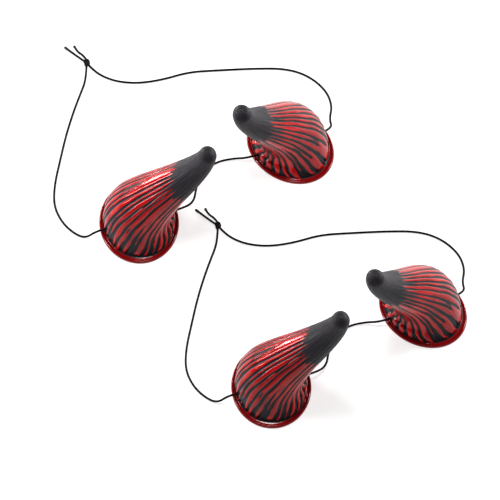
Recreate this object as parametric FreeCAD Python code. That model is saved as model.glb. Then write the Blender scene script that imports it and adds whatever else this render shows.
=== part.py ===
import FreeCAD, Part
import math
import os

# Two identical sets of costume horns. Each set is a pair of hollow moulded horns, mirror images of
# each other, threaded on one loop of round elastic cord that is tied with an overhand knot.
# Millimetres, +Z up. The origin is on the surface the horns stand on, under the middle of the four horns.

Vector = FreeCAD.Vector

# Horn. A horn's own frame has its base on z = 0 and leans along +x.
RIM_HALF_LENGTH = 28.0
RIM_HALF_WIDTH = 35.0
RIM_THICKNESS = 2.6
RIM_OVERHANG = 2.5
RIM_EDGE_RADIUS = 0.9
WALL = 1.8

# The horn's curved centreline is a quartic Bezier from the middle of the base to the middle of the tip.
# It leaves the base upright, so the horn starts inside its rim all the way round.
BASE_HANDLE = Vector(0.0, 0.0, 14.9)
SHOULDER_HANDLE = Vector(-7.5, -3.4, 28.4)
NECK_HANDLE = Vector(42.8, -1.8, 57.5)
TIP_CENTRE = Vector(47.7, -7.0, 88.1)

# Half sizes of its cross-section, along the lean and across it, at the centreline's handles.
BASE_HALF_LENGTH = 27.0
BASE_HALF_WIDTH = 25.3
SHOULDER_HALF_LENGTH = 18.3
SHOULDER_HALF_WIDTH = 20.4
NECK_HALF_LENGTH = 9.2
NECK_HALF_WIDTH = 12.4
TIP_HALF_LENGTH = 6.6
TIP_HALF_WIDTH = 7.3

HOLLOW_END = 0.66   # share of the centreline at which the hollow's round end begins
RING_POINTS = 24
BODY_SECTIONS = 12
DOME_ANGLES = (25.0, 50.0, 70.0)

# Cord
CORD_DIAMETER = 1.5
CORD_LINE_HEIGHT = 5.5    # height of the cord holes, and of the cord in them
HOLE_CLEARANCE = 0.45     # radial room round the cord in a horn's hole
HOLE_LINE_OVERRUN = 4.0   # how far a hole's cut runs past the straight run of cord
FLOOR_GAP = 0.05
LYING = CORD_DIAMETER / 2 + FLOOR_GAP

# Knot and melted tail ends
KNOT_CENTRE = Vector(-137.9, 175.3, 2.6)
KNOT_HALF_LENGTH = 3.4
KNOT_HALF_THICKNESS = 2.5
LONG_SEAL_LENGTH = 4.2
SHORT_SEAL_LENGTH = 2.6
SEAL_RADIUS = 1.05

# Places of the first set; the second set is a copy.
LEFT_HORN_PLACE = Vector(-100.5, 39.0, 0.0)
LEFT_HORN_TURN = 3.0
RIGHT_HORN_PLACE = Vector(5.5, 104.7, 0.0)
RIGHT_HORN_TURN = 217.5
SET_PITCH = Vector(92.5, -140.0, 0.0)

# The cord lies straight between these points, and each horn's two holes are on that line.
LEFT_REAR = Vector(-130.46, 28.27, CORD_LINE_HEIGHT)
LEFT_FRONT = Vector(-69.1, 48.2, CORD_LINE_HEIGHT)
RIGHT_FRONT = Vector(-24.3, 91.0, CORD_LINE_HEIGHT)
RIGHT_REAR = Vector(35.1, 116.21, CORD_LINE_HEIGHT)
CORD_SAG = 1.3            # how far the cord hangs slack inside a horn

# Corner points of the loop, from the knot round through both horns and back to the knot.
LOOP_ROUTE = [
    Vector(-137.9, 173.5, 2.4),
    Vector(-138.1, 167.5, 1.2),
    Vector(-139.2, 158.5, LYING),
    Vector(-143.0, 147.0, LYING),
    Vector(-147.5, 132.0, LYING),
    Vector(-152.0, 114.0, LYING),
    Vector(-155.8, 94.0, LYING),
    Vector(-160.0, 71.0, LYING),
    Vector(-160.3, 53.0, LYING),
    Vector(-154.5, 39.0, LYING),
    Vector(-146.0, 29.5, 1.0),
    Vector(-138.0, 24.8, 2.0),
    LEFT_REAR,
    Vector(-117.1, 32.6, CORD_LINE_HEIGHT),
    Vector(-100.5, 38.0, CORD_LINE_HEIGHT - CORD_SAG),
    Vector(-89.1, 41.7, CORD_LINE_HEIGHT),
    LEFT_FRONT,
    Vector(-62.0, 56.5, 1.6),
    Vector(-60.5, 70.0, LYING),
    Vector(-56.0, 83.0, LYING),
    Vector(-46.5, 91.0, LYING),
    Vector(-34.5, 93.2, 2.0),
    RIGHT_FRONT,
    Vector(-4.9, 99.2, CORD_LINE_HEIGHT),
    Vector(6.1, 103.9, CORD_LINE_HEIGHT - CORD_SAG),
    Vector(17.1, 108.6, CORD_LINE_HEIGHT),
    RIGHT_REAR,
    Vector(33.0, 127.5, 1.6),
    Vector(35.0, 139.5, LYING),
    Vector(30.5, 153.0, LYING),
    Vector(18.0, 165.5, LYING),
    Vector(2.0, 171.5, LYING),
    Vector(-20.0, 171.5, LYING),
    Vector(-45.0, 170.0, LYING),
    Vector(-66.0, 168.5, LYING),
    Vector(-84.0, 162.0, LYING),
    Vector(-101.0, 158.8, LYING),
    Vector(-115.0, 160.0, LYING),
    Vector(-125.0, 163.8, LYING),
    Vector(-132.5, 169.0, 1.3),
    Vector(-136.6, 173.6, 2.4),
]

LONG_TAIL_ROUTE = [
    Vector(-139.5, 176.6, 2.4),
    Vector(-143.6, 180.6, 1.8),
    Vector(-147.6, 184.6, 1.0),
    Vector(-151.0, 187.6, 1.1),
]

SHORT_TAIL_ROUTE = [
    Vector(-137.8, 177.6, 2.6),
    Vector(-140.4, 182.2, 2.2),
    Vector(-144.2, 185.4, 1.3),
    Vector(-146.0, 189.2, 1.1),
]


def bezier(handles, t):
    """The point, or number, at share t of a Bezier curve of any degree."""
    degree = len(handles) - 1
    total = handles[0] * (1 - t)**degree
    for i in range(1, degree + 1):
        total = total + handles[i] * (math.comb(degree, i) * (1 - t)**(degree - i) * t**i)
    return total


def section_frame(t):
    """The centre of the section at t, its two directions, along and across the lean, and its normal."""
    handles = (Vector(0, 0, 0), BASE_HANDLE, SHOULDER_HANDLE, NECK_HANDLE, TIP_CENTRE)
    steps = [after - before for before, after in zip(handles, handles[1:])]
    normal = bezier(steps, t).normalize()
    along = Vector(0, 1, 0).cross(normal).normalize()
    across = normal.cross(along)
    return bezier(handles, t), along, across, normal


def half_sizes(t):
    body_length = RIM_HALF_LENGTH - RIM_OVERHANG
    body_width = RIM_HALF_WIDTH - RIM_OVERHANG
    lengths = (body_length, BASE_HALF_LENGTH, SHOULDER_HALF_LENGTH, NECK_HALF_LENGTH, TIP_HALF_LENGTH)
    widths = (body_width, BASE_HALF_WIDTH, SHOULDER_HALF_WIDTH, NECK_HALF_WIDTH, TIP_HALF_WIDTH)
    return bezier(lengths, t), bezier(widths, t)


def ring(centre, along, across, half_length, half_width, hand):
    """A closed smooth oval. hand is 1 for a left horn and -1 for its mirror image."""
    points = []
    for i in range(RING_POINTS):
        angle = 2 * math.pi * i / RING_POINTS
        point = centre + along * (half_length * math.cos(angle)) + across * (half_width * math.sin(angle))
        points.append(Vector(point.x, hand * point.y, point.z))
    curve = Part.BSplineCurve()
    parameters = [i / RING_POINTS for i in range(RING_POINTS + 1)]
    curve.interpolate(Points=points, PeriodicFlag=True, Parameters=parameters)
    return Part.Wire([curve.toShape()])


def horn_loft(inset, last, hand):
    """A solid horn as far as share last of the centreline, with a domed end, inset from the outer surface."""
    rings = []
    if inset > 0:
        length, width = half_sizes(0)
        start = Vector(0, 0, -RIM_THICKNESS)
        rings.append(ring(start, Vector(1, 0, 0), Vector(0, 1, 0), length - inset, width - inset, hand))
    for i in range(BODY_SECTIONS + 1):
        t = last * i / BODY_SECTIONS
        centre, along, across, normal = section_frame(t)
        length, width = half_sizes(t)
        rings.append(ring(centre, along, across, length - inset, width - inset, hand))
    length, width = length - inset, width - inset
    for degrees in DOME_ANGLES:
        angle = math.radians(degrees)
        top = centre + normal * (min(length, width) * math.sin(angle))
        rings.append(ring(top, along, across, length * math.cos(angle), width * math.cos(angle), hand))
    return Part.makeLoft(rings, True, False)


def rim(hand):
    """The flat flange that the horn stands on, rounded along its edges."""
    x, y = Vector(1, 0, 0), Vector(0, 1, 0)
    low = ring(Vector(0, 0, 0), x, y, RIM_HALF_LENGTH, RIM_HALF_WIDTH, hand)
    plate = Part.Face(low).extrude(Vector(0, 0, RIM_THICKNESS))
    edges = [edge for edge in plate.Edges if abs(edge.BoundBox.ZLength) < 0.01]
    return plate.makeFillet(RIM_EDGE_RADIUS, edges)


def horn(place, turn, hand, rear, front):
    """A hollow horn, with a hole through each end of its base for the cord that runs from rear to front."""
    solid = horn_loft(0.0, 1.0, hand).fuse(rim(hand))
    solid = solid.cut(horn_loft(WALL, HOLLOW_END, hand))
    solid.Placement = FreeCAD.Placement(place, FreeCAD.Rotation(Vector(0, 0, 1), turn))
    line = (front - rear).normalize()
    hole = Part.makeCylinder(
        CORD_DIAMETER / 2 + HOLE_CLEARANCE,
        (front - rear).Length + 2 * HOLE_LINE_OVERRUN,
        rear - line * HOLE_LINE_OVERRUN,
        line,
    )
    return solid.cut(hole)


def rounded_path(name, points):
    """Straight runs joined by tangent arcs, each as large as its two runs allow."""
    edges = []
    here = points[0]
    radii = []
    for before, corner, after in zip(points, points[1:], points[2:]):
        back = (before - corner).normalize()
        ahead = (after - corner).normalize()
        half_turn = (math.pi - back.getAngle(ahead)) / 2
        reach = 0.45 * min((before - corner).Length, (after - corner).Length)
        radius = reach / math.tan(half_turn)
        radii.append(radius)
        start = corner + back * reach
        end = corner + ahead * reach
        inward = (back + ahead).normalize()
        centre = corner + inward * (radius / math.cos(half_turn))
        middle = centre - inward * radius
        edges.append(Part.LineSegment(here, start).toShape())
        edges.append(Part.Arc(start, middle, end).toShape())
        here = end
    edges.append(Part.LineSegment(here, points[-1]).toShape())
    path = Part.Wire(edges)
    print(name, "length", round(path.Length, 1), "radii", [round(r, 1) for r in radii])
    return path


def tube(name, points):
    path = rounded_path(name, points)
    heading = points[1] - points[0]
    circle = Part.Wire([Part.Circle(points[0], heading, CORD_DIAMETER / 2).toShape()])
    solid = path.makePipeShell([circle], True, False)
    expected = math.pi * CORD_DIAMETER**2 / 4 * path.Length
    print(name, "volume", round(solid.Volume, 2), "section times length", round(expected, 2))
    return solid


def knot():
    """The tied knot's outer shape: an egg lying along the tails."""
    oval = Part.Ellipse(KNOT_CENTRE, KNOT_HALF_LENGTH, KNOT_HALF_THICKNESS)
    half = Part.Arc(oval, 0.0, math.pi).toShape()
    axis = Part.LineSegment(half.Vertexes[-1].Point, half.Vertexes[0].Point).toShape()
    face = Part.Face(Part.Wire([half, axis]))
    egg = face.revolve(KNOT_CENTRE, Vector(1, 0, 0), 360)
    egg.rotate(KNOT_CENTRE, Vector(0, 0, 1), 115)
    return egg


def seal(route, length):
    """A melted cord end: a round-ended bead that swallows the end of its tail."""
    along = (route[-1] - route[-2]).normalize()
    barrel = length - 2 * SEAL_RADIUS
    start = route[-1] + along * (SEAL_RADIUS / 2)
    end = start + along * barrel
    bead = Part.makeCylinder(SEAL_RADIUS, barrel, start, along)
    bead = bead.fuse(Part.makeSphere(SEAL_RADIUS, start))
    bead = bead.fuse(Part.makeSphere(SEAL_RADIUS, end))
    return bead.removeSplitter()


def one_set():
    return {
        "left_horn": horn(LEFT_HORN_PLACE, LEFT_HORN_TURN, 1, LEFT_REAR, LEFT_FRONT),
        "right_horn": horn(RIGHT_HORN_PLACE, RIGHT_HORN_TURN, -1, RIGHT_REAR, RIGHT_FRONT),
        "elastic_cord": tube("elastic_cord", LOOP_ROUTE),
        "cord_knot": knot(),
        "cord_tail_long": tube("cord_tail_long", LONG_TAIL_ROUTE),
        "cord_tail_short": tube("cord_tail_short", SHORT_TAIL_ROUTE),
        "tail_seal_long": seal(LONG_TAIL_ROUTE, LONG_SEAL_LENGTH),
        "tail_seal_short": seal(SHORT_TAIL_ROUTE, SHORT_SEAL_LENGTH),
    }


os.makedirs("parts", exist_ok=True)
for name, shape in one_set().items():
    for number in (1, 2):
        copy = shape.copy()
        copy.translate(SET_PITCH * (number - 1))
        print(name, number, "valid", copy.isValid(), "solids", len(copy.Solids), "volume", round(copy.Volume, 1))
        copy.exportStep("parts/" + name + "_" + str(number) + ".step")
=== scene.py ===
import math
import bpy
import bmesh
import numpy as np
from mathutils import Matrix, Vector, noise


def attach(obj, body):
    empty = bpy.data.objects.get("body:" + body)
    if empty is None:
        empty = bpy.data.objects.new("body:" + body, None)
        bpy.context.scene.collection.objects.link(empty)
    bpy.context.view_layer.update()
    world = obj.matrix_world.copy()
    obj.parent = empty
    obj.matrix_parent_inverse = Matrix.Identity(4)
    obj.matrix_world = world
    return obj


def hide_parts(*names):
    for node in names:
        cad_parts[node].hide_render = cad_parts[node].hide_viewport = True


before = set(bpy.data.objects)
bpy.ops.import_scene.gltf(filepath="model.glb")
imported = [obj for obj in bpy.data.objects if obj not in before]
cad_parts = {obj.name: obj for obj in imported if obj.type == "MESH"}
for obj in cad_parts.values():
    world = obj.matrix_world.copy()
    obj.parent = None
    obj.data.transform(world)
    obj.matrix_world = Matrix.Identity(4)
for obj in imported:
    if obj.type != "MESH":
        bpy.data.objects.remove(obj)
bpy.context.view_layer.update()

MM = 0.001
SET_PITCH = np.array([92.5, -140.0, 0.0])    # from the first set to the second, millimetres

# ---------------------------------------------------------------- camera
ELEVATION = math.radians(55.0)
DISTANCE = 15.0          # far off, so that both sets look alike
VIEW_WIDTH = 0.35        # what the picture spans at the target
target = Vector((-0.0228, 0.0161, 0.0))
camera_data = bpy.data.cameras.new("camera")
camera = bpy.data.objects.new("camera", camera_data)
bpy.context.scene.collection.objects.link(camera)
camera.location = target + DISTANCE * Vector((0, -math.cos(ELEVATION), math.sin(ELEVATION)))
camera.rotation_euler = (math.pi / 2 - ELEVATION, 0, 0)
camera_data.sensor_width = 36.0
camera_data.lens = camera_data.sensor_width * DISTANCE / VIEW_WIDTH
camera_data.clip_end = 40.0
bpy.context.scene.camera = camera

# ---------------------------------------------------------------- cord routes, metres, first set
CORD = 0.0015
BRAID_STANDS_OUT = 0.000012    # how far the braid's middle height is outside the cord's nominal radius
STRANDS = 8                    # that wind each way in the braid
BRAID_TURNS = 4
BRAID_PITCH = 0.0042
BRAID_RELIEF = 0.000035
TUBE_SIDES = 20
TUBE_STEP = 0.00025
L = 0.0008                     # height of the cord's middle where it lies on the surface
H = 0.0055                     # height of the holes in the horns
LOOP_ROUTE = [
    (-0.1379, 0.1735, 0.0024), (-0.1381, 0.1675, 0.0012), (-0.1392, 0.1585, L), (-0.1430, 0.1470, L),
    (-0.1475, 0.1320, L), (-0.1520, 0.1140, L), (-0.1558, 0.0940, L), (-0.1600, 0.0710, L),
    (-0.1603, 0.0530, L), (-0.1545, 0.0390, L), (-0.1460, 0.0295, 0.0010), (-0.1380, 0.0248, 0.0020),
    (-0.13046, 0.02827, H), (-0.1171, 0.0326, H), (-0.1005, 0.0380, 0.0042), (-0.0891, 0.0417, H),
    (-0.0691, 0.0482, H), (-0.0620, 0.0565, 0.0016), (-0.0605, 0.0700, L), (-0.0560, 0.0830, L),
    (-0.0465, 0.0910, L), (-0.0345, 0.0932, 0.0020), (-0.0243, 0.0910, H), (-0.0049, 0.0992, H),
    (0.0061, 0.1039, 0.0042), (0.0171, 0.1086, H), (0.0351, 0.11621, H), (0.0330, 0.1275, 0.0016),
    (0.0350, 0.1395, L), (0.0305, 0.1530, L), (0.0180, 0.1655, L), (0.0020, 0.1715, L),
    (-0.0200, 0.1715, L), (-0.0450, 0.1700, L), (-0.0660, 0.1685, L), (-0.0840, 0.1620, L),
    (-0.1010, 0.1588, L), (-0.1150, 0.1600, L), (-0.1250, 0.1638, L), (-0.1325, 0.1690, 0.0013),
    (-0.1366, 0.1736, 0.0024),
]
LONG_TAIL_ROUTE = [
    (-0.1395, 0.1766, 0.0024), (-0.1436, 0.1806, 0.0018),
    (-0.1476, 0.1846, 0.0010), (-0.1510, 0.1876, 0.0011),
]
SHORT_TAIL_ROUTE = [
    (-0.1378, 0.1776, 0.0026), (-0.1404, 0.1822, 0.0022),
    (-0.1442, 0.1854, 0.0013), (-0.1460, 0.1892, 0.0011),
]
KNOT_CENTRE = np.array([-0.1379, 0.1753, 0.0026])


def spline_points(route):
    """The line of a NURBS spline through the route's control points, as an array."""
    curve = bpy.data.curves.new("route", "CURVE")
    curve.dimensions = "3D"
    spline = curve.splines.new("NURBS")
    spline.points.add(len(route) - 1)
    for point, place in zip(spline.points, route):
        point.co = (*place, 1.0)
    spline.order_u = 3
    spline.use_endpoint_u = True
    spline.resolution_u = 24
    holder = bpy.data.objects.new("route", curve)
    mesh = bpy.data.meshes.new_from_object(holder)
    line = np.array([tuple(v.co) for v in mesh.vertices])
    bpy.data.objects.remove(holder)
    bpy.data.curves.remove(curve)
    bpy.data.meshes.remove(mesh)
    return line


def even(line, step):
    """The line again, with points at an even step along it."""
    run = np.r_[0, np.cumsum(np.linalg.norm(np.diff(line, axis=0), axis=1))]
    at = np.linspace(0, run[-1], max(8, int(round(run[-1] / step))))
    return np.stack([np.interp(at, run, line[:, k]) for k in range(3)], 1), at


def braid(turn, along):
    """The relief of a braided cover: strands that wind both ways and pass over and under each other."""
    a = STRANDS * turn / 2 + 2 * math.pi * BRAID_TURNS * along / BRAID_PITCH
    b = STRANDS * turn / 2 - 2 * math.pi * BRAID_TURNS * along / BRAID_PITCH
    return BRAID_RELIEF * (np.abs(np.cos(a / 2)) * np.abs(np.cos(b / 2)) * 2 - 1)


def tube_mesh(name, line, at, radius, closed=False):
    """A braided tube round a line, its frames carried along without twist; at is the distance along it."""
    sides = TUBE_SIDES
    n = len(line)
    if closed:
        heading = np.roll(line, -1, 0) - np.roll(line, 1, 0)
    else:
        heading = np.gradient(line, axis=0)
    heading /= np.linalg.norm(heading, axis=1)[:, None]
    side = np.cross(heading[0], (0, 0, 1.0))
    side /= np.linalg.norm(side)
    sides_of = [side]
    for i in range(1, n):
        side = sides_of[-1] - heading[i] * np.dot(sides_of[-1], heading[i])
        sides_of.append(side / np.linalg.norm(side))
    s = np.array(sides_of)
    u = np.cross(heading, s)
    turn = np.arange(sides) * 2 * math.pi / sides
    r = radius + braid(turn[None, :], at[:, None])
    points = line[:, None, :] + r[..., None] * (
        np.cos(turn)[None, :, None] * s[:, None, :] + np.sin(turn)[None, :, None] * u[:, None, :])
    verts = points.reshape(-1, 3)
    faces = []
    last = n if closed else n - 1
    for i in range(last):
        a, b = i * sides, ((i + 1) % n) * sides
        for j in range(sides):
            k = (j + 1) % sides
            faces.append((a + j, a + k, b + k, b + j))
    if not closed:
        faces.append(tuple(range(sides - 1, -1, -1)))
        faces.append(tuple((n - 1) * sides + j for j in range(sides)))
    mesh = bpy.data.meshes.new(name)
    mesh.from_pydata([tuple(p) for p in verts], [], faces)
    mesh.polygons.foreach_set("use_smooth", [True] * len(mesh.polygons))
    layer = mesh.uv_layers.new(name="flow")
    uv = np.zeros((len(mesh.loops), 2))
    count = last * sides
    ring = np.repeat(np.arange(last), sides)
    col = np.tile(np.arange(sides), last)
    ends = np.append(at, 2 * at[-1] - at[-2]) if closed else at
    for c, (dj, di) in enumerate(((0, 0), (1, 0), (1, 1), (0, 1))):
        uv[c:count * 4:4, 0] = (col + dj) / sides
        uv[c:count * 4:4, 1] = ends[ring + di]
    layer.data.foreach_set("uv", uv.ravel())
    mesh.update()
    return mesh


# ---------------------------------------------------------------- materials
def srgb(r, g, b):
    """A linear colour from display values of 0 to 255."""
    out = []
    for v in (r, g, b):
        v = v / 255
        out.append(v / 12.92 if v <= 0.04045 else ((v + 0.055) / 1.055) ** 2.4)
    return (*out, 1.0)


class Nodes:
    """Short calls for building a material's nodes."""

    def __init__(self, name):
        self.material = bpy.data.materials.new(name)
        self.material.use_nodes = True
        self.tree = self.material.node_tree
        self.tree.nodes.clear()
        self.out = self.tree.nodes.new("ShaderNodeOutputMaterial")

    def node(self, kind, inputs=(), **settings):
        node = self.tree.nodes.new(kind)
        for key, value in settings.items():
            setattr(node, key, value)
        for key, value in dict(inputs).items():
            socket = node.inputs[key]
            if isinstance(value, bpy.types.NodeSocket):
                self.tree.links.new(value, socket)
            else:
                socket.default_value = value
        return node

    def math(self, operation, a, b=0.0):
        return self.node("ShaderNodeMath", {0: a, 1: b}, operation=operation).outputs[0]

    def step(self, value, low, high, to_low=0.0, to_high=1.0):
        inputs = {"Value": value, "From Min": low, "From Max": high, "To Min": to_low, "To Max": to_high}
        return self.node("ShaderNodeMapRange", inputs, interpolation_type="SMOOTHSTEP").outputs["Result"]

    def jitter(self, scale, place, size):
        """Fine noise about zero, for ragged edges of paint."""
        return self.math("MULTIPLY", self.math("SUBTRACT", self.noise(scale, 3.0, place), 0.5), size)

    def mix(self, factor, a, b):
        inputs = {0: factor, 6: a, 7: b}
        return self.node("ShaderNodeMix", inputs, data_type="RGBA").outputs[2]

    def blend(self, factor, a, b):
        return self.node("ShaderNodeMix", {0: factor, 2: a, 3: b}, data_type="FLOAT").outputs[0]

    def noise(self, scale, detail=2.0, vector=None, roughness=0.5):
        inputs = {"Scale": scale, "Detail": detail, "Roughness": roughness}
        if vector is not None:
            inputs["Vector"] = vector
        return self.node("ShaderNodeTexNoise", inputs).outputs["Fac"]

    def object_place(self):
        return self.node("ShaderNodeTexCoord").outputs["Object"]

    def uv(self, name):
        vector = self.node("ShaderNodeUVMap", uv_map=name).outputs[0]
        split = self.node("ShaderNodeSeparateXYZ", {0: vector})
        return split.outputs[0], split.outputs[1]

    def finish(self, inputs):
        shader = self.node("ShaderNodeBsdfPrincipled", inputs)
        self.tree.links.new(shader.outputs[0], self.out.inputs[0])
        return self.material


def horn_material():
    """Glossy red moulding with blue-black paint in its grooves, and a matte grey tip."""
    n = Nodes("horn_plastic")
    place = n.object_place()
    into_groove, past_tip_edge = n.uv("paint")      # millimetres
    around, along = n.uv("flow")                    # shares of a turn and of the body
    groove = n.step(n.math("ADD", into_groove, n.jitter(900.0, place, 0.5)), -0.16, 0.16)
    tip = n.step(n.math("ADD", past_tip_edge, n.jitter(500.0, place, 3.0)), -0.9, 0.9)
    dark = n.math("MAXIMUM", groove, tip)
    broad = n.noise(60.0, 3.0, place)
    fine = n.noise(1500.0, 2.0, place)
    lengthwise = {0: n.math("MULTIPLY", around, 46.0), 1: n.math("MULTIPLY", along, 3.5)}
    streak = n.noise(1.6, 4.0, n.node("ShaderNodeCombineXYZ", lengthwise).outputs[0], 0.6)
    red = n.mix(n.step(broad, 0.35, 0.65), srgb(150, 5, 9), srgb(188, 11, 15))
    red = n.mix(n.step(streak, 0.42, 0.72, 0.0, 0.35), red, srgb(214, 28, 30))
    red = n.mix(n.step(streak, 0.28, 0.43, 0.5, 0.0), red, srgb(84, 8, 14))
    paint = n.mix(n.step(fine, 0.3, 0.7), srgb(14, 17, 22), srgb(28, 33, 41))
    grey = n.mix(n.step(streak, 0.32, 0.68), srgb(30, 28, 33), srgb(54, 51, 57))
    paint = n.mix(tip, paint, grey)
    rim = n.step(along, -0.02, -0.01, 1.0, 0.0)
    red = n.mix(n.math("MULTIPLY", rim, 0.85), red, srgb(122, 4, 9))
    colour = n.mix(dark, red, paint)
    rough_red = n.step(n.noise(220.0, 3.0, place), 0.3, 0.7, 0.13, 0.21)
    rough = n.blend(dark, rough_red, n.blend(tip, 0.4, n.step(fine, 0.3, 0.7, 0.5, 0.62)))
    strokes = n.math("MULTIPLY", n.math("MULTIPLY", streak, tip), 1.6)
    grain = n.math("ADD", n.math("MULTIPLY", n.noise(320.0, 3.0, place), 0.5), strokes)
    bump = n.node("ShaderNodeBump", {"Strength": 0.35, "Distance": 0.0004, "Height": grain})
    return n.finish({
        "Base Color": colour, "Roughness": rough, "Normal": bump.outputs[0],
        "Specular IOR Level": n.blend(tip, n.blend(dark, 0.3, 0.2), 0.25),
        "Coat Weight": n.blend(dark, 0.2, n.blend(tip, 0.2, 0.05)), "Coat Roughness": 0.06,
    })


def cord_material():
    """Black braided elastic: matte threads with a faint sheen, and painted shade where the braid dips between
    strands.
    """
    n = Nodes("elastic_cord")
    turn, distance = n.uv("flow")
    place = n.object_place()
    along = n.math("MULTIPLY", distance, 2 * math.pi * BRAID_TURNS / BRAID_PITCH)
    around = n.math("MULTIPLY", turn, STRANDS * math.pi)
    ways = [n.math("ABSOLUTE", n.math("COSINE", n.math("MULTIPLY", n.math(way, around, along), 0.5)))
            for way in ("ADD", "SUBTRACT")]
    weave = n.math("MULTIPLY", *ways)
    fibre = n.noise(2600.0, 3.0, place)
    # Colour is lighter on the braid's raised crossings and darker where it dips between strands: painted
    # shade in the braid's hollows. The fibre noise is the threads' own tone.
    colour = n.mix(n.math("MULTIPLY", weave, fibre), srgb(8, 8, 9), srgb(30, 30, 33))
    threads = n.math("ADD", weave, fibre)
    bump = n.node("ShaderNodeBump", {"Strength": 0.4, "Distance": 0.0001, "Height": threads})
    return n.finish({"Base Color": colour, "Roughness": 0.7, "Normal": bump.outputs[0],
                     "Sheen Weight": 0.04, "Sheen Roughness": 0.4, "Specular IOR Level": 0.2})


def seal_material():
    """Cord end melted to a satin bead, with painted shade in the dips of its bumps."""
    n = Nodes("cord_end")
    place = n.object_place()
    lumps = n.noise(1400.0, 3.0, place)
    # Colour is lighter on the bumps and darker in their dips, from the same noise as the bump: painted shade
    # in the bead's small hollows.
    colour = n.mix(lumps, srgb(12, 12, 14), srgb(40, 40, 44))
    bump = n.node("ShaderNodeBump", {"Strength": 0.5, "Distance": 0.0002, "Height": lumps})
    rough = n.step(lumps, 0.3, 0.7, 0.3, 0.5)
    return n.finish({"Base Color": colour, "Roughness": rough, "Normal": bump.outputs[0]})


horn_plastic = horn_material()
elastic = cord_material()
melted = seal_material()


def add(name, mesh, material, shift):
    """A new object in the scene, with its one material."""
    thing = bpy.data.objects.new(name, mesh)
    bpy.context.scene.collection.objects.link(thing)
    thing.location = shift
    mesh.materials.clear()
    mesh.materials.append(material)
    return thing


# ---------------------------------------------------------------- cords, knot and melted ends
KNOT_HEADING = math.radians(115)
KNOT_TURNS = (0.00082, 0.00052, 0.00125)     # size of the turns along, across and up
KNOT_STRAND = 0.00094                        # radius of the two cords that run side by side
KNOT_CORE = (0.0025, 0.0019, 0.0018)         # fills the middle of the turns


def knot_mesh(name):
    """An overhand knot, with its turns pressed together, that fits the tied knot's outer size."""
    t = np.linspace(0, 2 * math.pi, 240, endpoint=False)
    trefoil = (np.sin(t) + 2 * np.sin(2 * t), np.cos(t) - 2 * np.cos(2 * t), -np.sin(3 * t))
    along = np.array([math.cos(KNOT_HEADING), math.sin(KNOT_HEADING), 0])
    across = np.array([-along[1], along[0], 0])
    up = np.array([0, 0, 1.0])
    axes = (along, across, up)
    shaped = sum((part * size)[:, None] * axis for part, size, axis in zip(trefoil, KNOT_TURNS, axes))
    line = KNOT_CENTRE + shaped
    at = np.r_[0, np.cumsum(np.linalg.norm(np.diff(line, axis=0), axis=1))]
    turns = tube_mesh(name, line, at, KNOT_STRAND, closed=True)
    work = bmesh.new()
    work.from_mesh(turns)
    core = bmesh.ops.create_uvsphere(work, u_segments=32, v_segments=20, radius=1.0)
    for v in core["verts"]:
        p = np.array(v.co)
        v.co = KNOT_CENTRE + sum(part * size * axis for part, size, axis in zip(p, KNOT_CORE, axes))
    for face in work.faces:
        face.smooth = True
    work.to_mesh(turns)
    work.free()
    return turns


LONG_SEAL = 0.0042
SHORT_SEAL = 0.0026
SEAL_RADIUS = 0.00105
SEAL_SKIN = 0.00103        # the bead as seen, just inside its solid
SEAL_LUMPS = 0.1           # how uneven it is, as a share of its radius


def seal_mesh(name, route, length, seed):
    """A melted bead at the end of a tail, slightly lumpy."""
    a, b = np.array(route[-2]), np.array(route[-1])
    along = (b - a) / np.linalg.norm(b - a)
    centre = b + along * (SEAL_RADIUS / 2 + (length - 2 * SEAL_RADIUS) / 2)
    side = np.cross(along, (0, 0, 1.0))
    side /= np.linalg.norm(side)
    up = np.cross(side, along)
    work = bmesh.new()
    bmesh.ops.create_uvsphere(work, u_segments=36, v_segments=28, radius=1.0)
    half = length / 2
    for v in work.verts:
        p = np.array(v.co)
        axial = math.copysign(abs(p[2]) ** 0.8, p[2])
        waves = noise.noise(Vector((p[0] * 1.7 + seed, p[1] * 1.7, p[2] * 1.7)))
        lump = 1 - SEAL_LUMPS * (0.5 + 0.5 * waves)
        spread = math.hypot(p[0], p[1])
        fat = spread ** 0.6 / spread if spread > 1e-6 else 0
        v.co = centre + along * (axial * half * 0.99) + (side * p[0] + up * p[1]) * (SEAL_SKIN * fat * lump)
    for face in work.faces:
        face.smooth = True
    mesh = bpy.data.meshes.new(name)
    work.to_mesh(mesh)
    work.free()
    return mesh


def cord_mesh(name, route):
    """A cord's tube along its route, and the line that the tube follows."""
    line, at = even(spline_points(route), TUBE_STEP)
    return tube_mesh(name, line, at, CORD / 2 + BRAID_STANDS_OUT), line


loop_mesh, loop_line = cord_mesh("elastic_cord", LOOP_ROUTE)
long_mesh, _ = cord_mesh("cord_tail_long", LONG_TAIL_ROUTE)
short_mesh, _ = cord_mesh("cord_tail_short", SHORT_TAIL_ROUTE)
knotted = knot_mesh("cord_knot")
long_seal = seal_mesh("tail_seal_long", LONG_TAIL_ROUTE, LONG_SEAL, seed=3.0)
short_seal = seal_mesh("tail_seal_short", SHORT_TAIL_ROUTE, SHORT_SEAL, seed=8.0)

for number in (1, 2):
    shift = SET_PITCH * MM * (number - 1)
    body = f"cord_set_{number}"
    for name, mesh, material, slot in (
        ("elastic_cord", loop_mesh, elastic, "elastic_cord"),
        ("cord_knot", knotted, elastic, "elastic_cord"),
        ("cord_tail_long", long_mesh, elastic, "elastic_cord"),
        ("cord_tail_short", short_mesh, elastic, "elastic_cord"),
        ("tail_seal_long", long_seal, melted, "cord_end"),
        ("tail_seal_short", short_seal, melted, "cord_end"),
    ):
        thing = add(f"{name}_{number}_look", mesh.copy(), material, shift)
        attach(thing, body)
        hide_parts(f"{name}_{number}")

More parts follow.
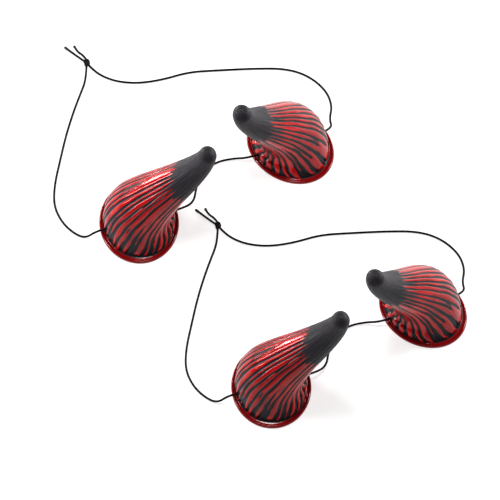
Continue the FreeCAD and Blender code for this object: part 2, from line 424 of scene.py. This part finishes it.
# ---------------------------------------------------------------- horns, millimetres
RIM_HALF_LENGTH = 28.0
RIM_HALF_WIDTH = 35.0
RIM_OVERHANG = 2.5
WALL = 1.8
HOLLOW_END = 0.66
CENTRELINE = ((0, 0, 0), (0, 0, 14.9), (-7.5, -3.4, 28.4), (42.8, -1.8, 57.5), (47.7, -7.0, 88.1))
HALF_LENGTHS = ((25.5,), (27.0,), (18.3,), (9.2,), (6.6,))
HALF_WIDTHS = ((32.5,), (25.3,), (20.4,), (12.4,), (7.3,))
BODY_FOOT = 2.15    # height at which the body stands up from the rim
COLUMNS = 480
BODY_ROWS = 136
CAP_LIFTS = (8, 16, 24, 32, 40, 48, 56, 64, 71, 76)    # rings of the domed end, degrees round the dome
HOLLOW_ROWS = 22
HOLLOW_LIFTS = (15, 30, 45, 58, 69)
EDGE_ROUND = 0.25   # rounding of the mouth's lower edge
DIMPLE = 0.15       # the hollow pressed in the end of the tip
DIMPLE_RINGS = (0.15, 0.35, 0.6, 0.85)
HOLE_RADIUS = 1.2
HOLE_OVERRUN = 8.0  # how much longer the cut is than the cord's straight run
# The rim's rounded bead: how far out from the body's base, and how high.
BEAD = ((0.1, 2.0), (0.5, 1.95), (0.9, 2.3), (1.3, 2.52), (1.75, 2.42), (2.15, 2.1), (2.4, 1.6), (2.46, 1.05),
        (2.38, 0.5), (2.1, 0.13), (1.7, 0.0))
CORD_LINES = {"left": ((-130.46, 28.27, 5.5), (-69.1, 48.2, 5.5)),
              "right": ((-24.3, 91.0, 5.5), (35.1, 116.21, 5.5))}
PLACES = {"left": ((-100.5, 39.0), 3.0, 1), "right": ((5.5, 104.7), 217.5, -1)}

# Grooves and paint. A share is along the body from its foot, or round it as part of a turn; the rest is
# in millimetres.
BODY_LENGTH = 90.0
GROOVES = 31
JOIN_EVERY = 3          # one groove in so many has a short one that joins it
SLITS = 20
SWEEP = 0.05            # how far round towards the back of the lean the grooves start
SWEEP_END = 0.45        # share along the body where that has died away
NARROW_BY = 0.64        # how much of its width a groove loses towards the neck
NECK = 0.62
FAN = (0.57, 0.73)      # where the paint spreads from the grooves into the grey
PAINT_SPREAD = 1.2      # painted width over moulded width on the body
FAN_SPREAD = 0.7        # what is added to that at the end of the fan
WOBBLE = 0.09           # how uneven a groove's width is
FOOT_SWELL = 0.12       # how much wider a groove is at the foot
FOOT_FADE = 5.0
BAND_HEIGHT = 0.5       # the painted line along the foot, and how ragged it is
BAND_RAGGED = 0.6
SOFTNESS = 0.28         # rounding where grooves meet
TIP_START = 0.70
TIP_LATE_SIDE = {"left": 0.38, "right": 0.68}    # the side, round the horn, where the grey starts furthest up
TIP_SLANT = 0.04        # how much further up it starts there
TIP_WAVES = ((0.008, 3), (0.012, 11), (0.012, 19), (0.009, 31))    # size and number of waves in its edge
TIP_BLEND = 5.0
GROOVE_DEPTH = 0.40
SHOULDER_DEPTH = 0.42   # how far the surface has already sunk at the edge of a groove
TIP_GROOVE_DEPTH = 0.16
FINE_LINES = 16         # hair lines moulded in the grey tip
FINE_DEPTH = 0.09
SWELL_DEPTH = 0.03      # broad unevenness of the moulding
END_INSET = 0.2
FOOT_ROUNDS = 30        # steps of the search for the foot's height
FOOT_DAMPING = 60.0

# What a ring of the skin carries: depth in a painted groove, distance past the edge of the grey, and a
# place along the horn that the shaders read; below 0 it is the rim, its underside and the hollow.
BARE = (-3.0, -30.0)
GREY_END = (-3.0, 30.0, 1.1)
RIM_ROW = (*BARE, -0.05)
UNDERSIDE_ROW = (*BARE, -0.08)
HOLLOW_ROW = (*BARE, -0.1)


def bezier(handles, t):
    """Points of a Bezier curve of any degree at t."""
    handles = np.array(handles, float)
    degree = len(handles) - 1
    return sum(math.comb(degree, i) * ((1 - t) ** (degree - i) * t ** i)[..., None] * handles[i]
               for i in range(degree + 1))


def sections(t):
    """Centre, direction along the lean, direction across it, normal and the two half sizes at t."""
    normal = bezier(np.diff(np.array(CENTRELINE, float), axis=0), t)
    normal /= np.linalg.norm(normal, axis=-1, keepdims=True)
    along = np.cross((0.0, 1.0, 0.0), normal)
    along /= np.linalg.norm(along, axis=-1, keepdims=True)
    across = np.cross(normal, along)
    return bezier(CENTRELINE, t), along, across, normal, bezier(HALF_LENGTHS, t), bezier(HALF_WIDTHS, t)


def skin(t, angle, inset=0.0):
    """Points of the body at t and at an angle round it, inset from its surface."""
    centre, along, across, _, length, width = sections(t)
    c, s = np.cos(angle)[..., None], np.sin(angle)[..., None]
    return centre + along * (length - inset) * c + across * (width - inset) * s


def cap(t, angle, lift, inset=0.0):
    """A ring of the domed end at t, lift degrees round the dome."""
    centre, along, across, normal, length, width = sections(t)
    length, width = length - inset, width - inset
    rise, draw = math.sin(math.radians(lift)), math.cos(math.radians(lift))
    c, s = np.cos(angle)[..., None], np.sin(angle)[..., None]
    top = centre + normal * np.minimum(length, width) * rise
    return top + along * length * draw * c + across * width * draw * s


def smooth(x, low, high):
    """0 below low, 1 above high, and a soft step between them."""
    x = np.clip((x - low) / (high - low), 0, 1)
    return x * x * (3 - 2 * x)


def groove_lines(rng):
    """Groove centre lines round the horn: long ones, short ones that join them part way up, and slits."""
    lines = []
    for i in range(GROOVES):
        start = (i + 0.5 + rng.uniform(-0.11, 0.11)) / GROOVES
        wander = [(rng.uniform(0.05, 0.13) / GROOVES, rng.uniform(0.8, 1.7), rng.uniform(0, 1)),
                  (rng.uniform(0.02, 0.06) / GROOVES, rng.uniform(3.0, 5.5), rng.uniform(0, 1))]
        top = rng.uniform(0.34, 0.56) if rng.random() < 0.22 else 1.2
        low = rng.uniform(0.10, 0.26) if rng.random() < 0.12 and top > 1 else -0.1
        lines.append(dict(at=start, wander=wander, low=low, high=top, wide=rng.uniform(1.15, 1.65),
                          join=None, side=0.0, slit=False))
        if i % JOIN_EVERY == 1:
            join = rng.uniform(0.14, 0.42)
            loose = rng.random() < 0.4
            lines.append(dict(at=start, wander=wander, low=-0.1, high=join - (0.05 if loose else 0.0),
                              wide=rng.uniform(0.5, 0.8), join=join,
                              side=rng.uniform(0.46, 0.54) / GROOVES, slit=False))
    for i in range(SLITS):
        low = rng.uniform(0.08, 0.50)
        at = (i + rng.uniform(0.2, 0.8)) / SLITS
        lines.append(dict(at=at, wander=[(0.006, 1.2, rng.uniform(0, 1))], low=low,
                          high=low + rng.uniform(0.06, 0.15), wide=rng.uniform(0.3, 0.5),
                          join=None, side=0.0, slit=True))
    return lines


def groove_field(seed, turn, share, scale, height):
    """How far each point is inside a painted groove, and inside a moulded one, in millimetres."""
    def inside(half, across, beyond):
        """Grows from 1 as a point goes into a groove; sums of it blend grooves that meet."""
        return np.exp(np.clip((half - across - beyond) / SOFTNESS, -40, 40))

    rng = np.random.default_rng(seed)
    painted = np.zeros_like(share)
    moulded = np.zeros_like(share)
    fan = smooth(share, *FAN)
    foot = np.exp(-height / FOOT_FADE)
    for line in groove_lines(rng):
        middle = line["at"] + sum(a * np.sin(2 * math.pi * (f * share + p)) for a, f, p in line["wander"])
        sweep = SWEEP * math.sin(2 * math.pi * line["at"])
        middle = middle + sweep * np.clip(1 - share / SWEEP_END, 0, None) ** 2
        if line["join"] is not None:
            away = np.clip((line["join"] - share) / line["join"], 0, 1)
            middle = middle + line["side"] * away ** 0.75
        gap = (turn - middle + 0.5) % 1.0 - 0.5
        across = np.abs(gap) * scale
        if line["slit"]:
            rise = np.clip((share - line["low"]) / (line["high"] - line["low"]), 0, 1)
            half = line["wide"] * np.sqrt(np.clip(4 * rise * (1 - rise), 0, 1))
        else:
            end = smooth(line["high"] - share, 0.0, 0.12) ** 0.6
            begin = smooth(share, line["low"], line["low"] + 0.05)
            half = line["wide"] * (1 - NARROW_BY * np.clip(share / NECK, 0, 1) ** 0.8) * end * begin
            half = half * (1 + WOBBLE * np.sin(2 * math.pi * (share * 7.3 + line["at"] * 31)))
            half = half * (1 + FOOT_SWELL * foot)
        above, below = np.clip(share - line["high"], 0, None), np.clip(line["low"] - share, 0, None)
        beyond = BODY_LENGTH * (above + below)
        painted += inside(half * (PAINT_SPREAD + FAN_SPREAD * fan), across, beyond)
        moulded += inside(half, across, beyond)
    ragged = sum(a * np.sin(2 * math.pi * (f * turn + p)) for a, f, p in
                 ((1.0, 3, rng.uniform()), (0.7, 7, rng.uniform()), (0.5, 17, rng.uniform())))
    band = (BAND_HEIGHT + BAND_RAGGED * ragged - height) * 0.9
    return [SOFTNESS * np.log(field + inside(band, 0, 0) + 1e-12) for field in (painted, moulded)]


def tip_field(seed, turn, share, late_side):
    """How far each point is past the ragged line where the grey tip begins, in millimetres along the horn."""
    rng = np.random.default_rng(seed + 50)
    ragged = sum(a * np.sin(2 * math.pi * (f * turn + rng.uniform())) for a, f in TIP_WAVES)
    slant = TIP_SLANT * np.cos(2 * math.pi * (turn - late_side))
    return (share - TIP_START - slant - ragged) * BODY_LENGTH


def horn_mesh(name, side, seed):
    """One hollow horn as a single closed skin, from the end of its tip over the rim into its hollow."""
    (place_x, place_y), degrees, hand = PLACES[side]
    angle = np.arange(COLUMNS) * 2 * math.pi / COLUMNS
    turn = angle / (2 * math.pi)
    foot = np.full(COLUMNS, 0.03)
    for _ in range(FOOT_ROUNDS):
        foot = np.clip(foot + (BODY_FOOT - skin(foot, angle)[:, 2]) / FOOT_DAMPING, 0.001, 0.2)
    share = np.linspace(0, 1, BODY_ROWS)[:, None] * np.ones((1, COLUMNS))
    t = foot[None, :] + (1 - foot[None, :]) * share
    body = skin(t, np.broadcast_to(angle, t.shape))
    one = np.ones(COLUMNS)
    caps = [cap(one, angle, lift) for lift in CAP_LIFTS]
    outer = np.concatenate([body, np.array(caps)])
    past_end = [np.full(COLUMNS, 1 + 0.01 * (k + 1)) for k in range(len(CAP_LIFTS))]
    share = np.concatenate([share, np.array(past_end)])
    step = np.linalg.norm(np.diff(outer, axis=0), axis=-1)
    height = np.concatenate([np.zeros((1, COLUMNS)), np.cumsum(step, 0)])
    around = np.roll(outer, -1, 1) - np.roll(outer, 1, 1)
    scale = np.linalg.norm(around, axis=-1) * COLUMNS / 2
    upward = np.gradient(outer, axis=0)
    normal = np.cross(around, upward)
    normal /= np.linalg.norm(normal, axis=-1, keepdims=True)
    turns = np.broadcast_to(turn, share.shape)
    painted, moulded = groove_field(seed, turns, share, scale, height)
    tip = tip_field(seed, turns, share, TIP_LATE_SIDE[side])
    on_tip = smooth(tip, -TIP_BLEND, TIP_BLEND)
    crest = SHOULDER_DEPTH * np.exp(np.minimum(moulded, 0) / 0.75)
    crest = crest + GROOVE_DEPTH * (1 - np.exp(-np.maximum(moulded, 0) / 0.35))
    faint = TIP_GROOVE_DEPTH * np.exp(np.minimum(moulded, 0) / 0.5)
    rng = np.random.default_rng(seed + 9)
    for _ in range(FINE_LINES):
        middle = rng.uniform() + 0.01 * np.sin(2 * math.pi * (share * 1.5 + rng.uniform()))
        gap = (turns - middle + 0.5) % 1.0 - 0.5
        faint = faint + FINE_DEPTH * np.exp(-(gap * scale / 0.45) ** 2)
    end = 1 - smooth(share, 0.985, 1.03)
    start = smooth(height, -0.6, 1.4)
    depth = ((1 - on_tip) * crest + on_tip * np.minimum(faint, 0.3)) * end * start
    depth = depth + END_INSET * (1 - end)
    depth = depth + SWELL_DEPTH * (np.sin(turns * 2 * math.pi * 5 + share * 9) * 0.5 + 0.5) * end
    outer = outer - normal * depth[..., None]

    rows, marks = [], []

    def put(points, paint, grey, flow):
        """Add a ring of the skin, with its paint, its grey and its place along the horn."""
        rows.append(points)
        marks.append(np.stack([np.broadcast_to(paint, COLUMNS), np.broadcast_to(grey, COLUMNS),
                               np.broadcast_to(flow, COLUMNS)], 1))

    last = caps[-1]
    middle = last.mean(0)
    dimple = sections(one)[3][0] * DIMPLE
    for inward in DIMPLE_RINGS:
        put(middle + (last - middle) * inward - dimple * (1 - smooth(inward, 0.2, 0.95)), *GREY_END)
    for k in range(len(outer) - 1, -1, -1):
        put(outer[k], painted[k], tip[k], share[k])
    c, s = np.cos(angle), np.sin(angle)

    def level(offset, z):
        """An oval ring that far out from the body's base, at height z."""
        half_length, half_width = RIM_HALF_LENGTH - RIM_OVERHANG, RIM_HALF_WIDTH - RIM_OVERHANG
        return np.stack([(half_length + offset) * c, (half_width + offset) * s, np.full(COLUMNS, z)], 1)

    for offset, z in BEAD:
        put(level(offset, z), *RIM_ROW)
    for offset, z in ((-0.6, 0.0), (-WALL + EDGE_ROUND, 0.0), (-WALL, EDGE_ROUND)):
        put(level(offset, z), *UNDERSIDE_ROW)
    for t_inner in np.linspace(0.02, HOLLOW_END, HOLLOW_ROWS):
        put(skin(np.full(COLUMNS, t_inner), angle, WALL), *HOLLOW_ROW)
    for lift in HOLLOW_LIFTS:
        put(cap(np.full(COLUMNS, HOLLOW_END), angle, lift, WALL), *HOLLOW_ROW)

    grid = np.array(rows)
    mark = np.array(marks)
    poles = np.array([middle - dimple, grid[-1].mean(0)])
    verts = np.concatenate([grid.reshape(-1, 3), poles])
    a = math.radians(degrees)
    x, y = verts[:, 0].copy(), verts[:, 1] * hand
    turned = [place_x + x * math.cos(a) - y * math.sin(a), place_y + x * math.sin(a) + y * math.cos(a)]
    verts = np.stack([*turned, verts[:, 2]], 1) * MM
    count = len(grid)
    faces, corners = [], []
    for i in range(count - 1):
        for j in range(COLUMNS):
            k = (j + 1) % COLUMNS
            faces.append((i * COLUMNS + j, i * COLUMNS + k, (i + 1) * COLUMNS + k, (i + 1) * COLUMNS + j))
            corners.append(((i, j, j), (i, k, j + 1), (i + 1, k, j + 1), (i + 1, j, j)))
    first_pole, last_pole = count * COLUMNS, count * COLUMNS + 1
    for j in range(COLUMNS):
        k = (j + 1) % COLUMNS
        faces.append((first_pole, k, j))
        corners.append(((0, j, j), (0, k, j + 1), (0, j, j)))
        base = (count - 1) * COLUMNS
        faces.append((last_pole, base + j, base + k))
        corners.append(((count - 1, j, j), (count - 1, j, j), (count - 1, k, j + 1)))
    mesh = bpy.data.meshes.new(name)
    mesh.from_pydata([tuple(v) for v in verts], [], faces)
    flat = np.array([corner for face in corners for corner in face])
    paint_layer = mesh.uv_layers.new(name="paint")
    flow_layer = mesh.uv_layers.new(name="flow")
    values = mark[flat[:, 0], flat[:, 1]]
    paint_layer.data.foreach_set("uv", values[:, :2].ravel())
    flow_layer.data.foreach_set("uv", np.stack([flat[:, 2] / COLUMNS, values[:, 2]], 1).ravel())
    mesh.polygons.foreach_set("use_smooth", [True] * len(mesh.polygons))
    work = bmesh.new()
    work.from_mesh(mesh)
    bmesh.ops.recalc_face_normals(work, faces=work.faces)
    work.to_mesh(mesh)
    work.free()
    return drilled(name, mesh, CORD_LINES[side])


def drilled(name, mesh, line):
    """The horn with its two round holes for the cord."""
    start, end = (Vector(p) * MM for p in line)
    along = (end - start).normalized()
    bit = bpy.data.meshes.new("bit")
    work = bmesh.new()
    radius = HOLE_RADIUS * MM
    bmesh.ops.create_cone(work, cap_ends=True, segments=40, radius1=radius, radius2=radius,
                          depth=(end - start).length + HOLE_OVERRUN * MM)
    work.to_mesh(bit)
    work.free()
    cutter = bpy.data.objects.new("bit", bit)
    cutter.location = (start + end) / 2
    cutter.rotation_euler = along.to_track_quat("Z", "Y").to_euler()
    whole = bpy.data.objects.new("whole", mesh)
    scene = bpy.context.scene
    scene.collection.objects.link(cutter)
    scene.collection.objects.link(whole)
    cut = whole.modifiers.new("holes", "BOOLEAN")
    cut.operation = "DIFFERENCE"
    cut.solver = "EXACT"
    cut.object = cutter
    depsgraph = bpy.context.evaluated_depsgraph_get()
    result = bpy.data.meshes.new_from_object(whole.evaluated_get(depsgraph))
    result.name = name
    for thing in (cutter, whole):
        bpy.data.objects.remove(thing)
    bpy.data.meshes.remove(bit)
    bpy.data.meshes.remove(mesh)
    return result


for side, seed in (("left", 5), ("right", 12)):
    look = horn_mesh(f"{side}_horn", side, seed)
    for number in (1, 2):
        horn = add(f"{side}_horn_{number}_look", look.copy(), horn_plastic, SET_PITCH * MM * (number - 1))
        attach(horn, f"{side}_horn_{number}")
        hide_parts(f"{side}_horn_{number}")

# ---------------------------------------------------------------- floor and light
floor_nodes = Nodes("floor")
cloud = floor_nodes.noise(4.0, 2.0, floor_nodes.object_place())
floor_tone = floor_nodes.mix(cloud, (0.54, 0.54, 0.54, 1), (0.56, 0.56, 0.56, 1))
# The floor glows a little, as a lit backdrop does, so that shadows on it stay faint.
floor_material = floor_nodes.finish({"Base Color": floor_tone, "Roughness": 0.7, "Specular IOR Level": 0.2,
                                     "Emission Color": (1, 1, 1, 1), "Emission Strength": 0.55})
floor_mesh = bpy.data.meshes.new("floor")
floor_mesh.from_pydata([(-3, -3, 0), (3, -3, 0), (3, 3, 0), (-3, 3, 0)], [], [(0, 1, 2, 3)])
floor = add("floor", floor_mesh, floor_material, (0, 0, -0.0001))


def lamp(name, place, aim, size, power):
    """A softbox at a place, turned to its aim."""
    data = bpy.data.lights.new(name, "AREA")
    data.shape = "RECTANGLE"
    data.size, data.size_y = size
    data.energy = power
    thing = bpy.data.objects.new(name, data)
    thing.location = place
    thing.rotation_euler = (Vector(aim) - Vector(place)).to_track_quat("-Z", "Y").to_euler()
    bpy.context.scene.collection.objects.link(thing)


lamp("left_softbox", (-0.80, 0.10, 0.36), (-0.02, 0.0, 0.03), (0.12, 0.5), 3.6)
lamp("right_softbox", (0.80, 0.30, 0.42), (-0.02, 0.0, 0.03), (0.12, 0.5), 3.2)
lamp("back_left_softbox", (-0.70, 0.75, 0.26), (-0.08, 0.03, 0.03), (0.5, 0.12), 5.5)
lamp("back_right_softbox", (0.75, 0.75, 0.26), (0.05, 0.05, 0.03), (0.5, 0.12), 5.0)
lamp("top_softbox", (-0.06, 0.05, 0.9), (-0.02, 0.0, 0.0), (0.2, 0.2), 2.9)

world = bpy.data.worlds.new("studio")
world.use_nodes = True
bpy.context.scene.world = world
background = world.node_tree.nodes["Background"]
background.inputs["Color"].default_value = (1, 1, 1, 1)
background.inputs["Strength"].default_value = 0.2
bpy.context.scene.view_settings.view_transform = "Standard"
bpy.context.scene.view_settings.look = "Medium High Contrast"
